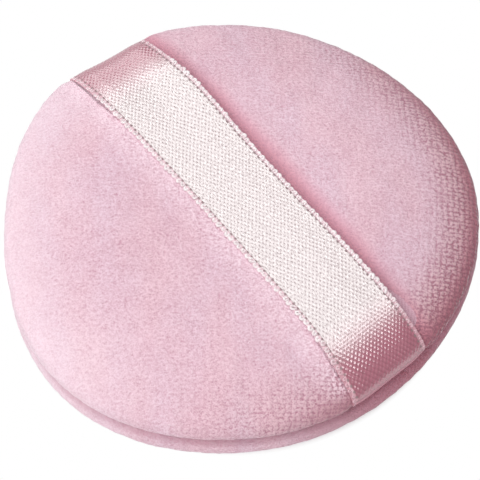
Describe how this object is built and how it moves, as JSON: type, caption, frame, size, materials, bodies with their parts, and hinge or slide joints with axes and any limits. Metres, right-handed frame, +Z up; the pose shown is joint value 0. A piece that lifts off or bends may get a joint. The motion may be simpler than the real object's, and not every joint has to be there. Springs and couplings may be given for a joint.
{
  "type": "powder puff",
  "caption": "Round velour powder puff with a foam core and a satin finger ribbon across its face, for putting on and pressing in face powder.",
  "frame": {"origin": "middle of the flat underside, on the pad's axis, at the surface that the puff lies on", "axes": "+Z up through the pad's thickness to the face with the ribbon, +X along the ribbon"},
  "size_m": [0.0778, 0.0809, 0.0139],
  "materials": {
    "velour": "matte",
    "foam": "matte",
    "satin": "satin",
    "thread": "satin"
  },
  "bodies": {
    "pad": {"face_cover": "velour", "back_cover": "velour", "foam_core": "foam", "ribbon_tail_near": "satin", "ribbon_tail_far": "satin", "seam_needle_thread": "thread", "seam_bobbin_thread": "thread", "closing_thread": "thread"},
    "ribbon": {"finger_ribbon": "satin"}
  },
  "joints": [
    {"name": "ribbon_lift", "type": "slide", "parent": "pad", "child": "ribbon", "axis": [0, 0, 1], "range_m": [0, 0.006]}
  ]
}
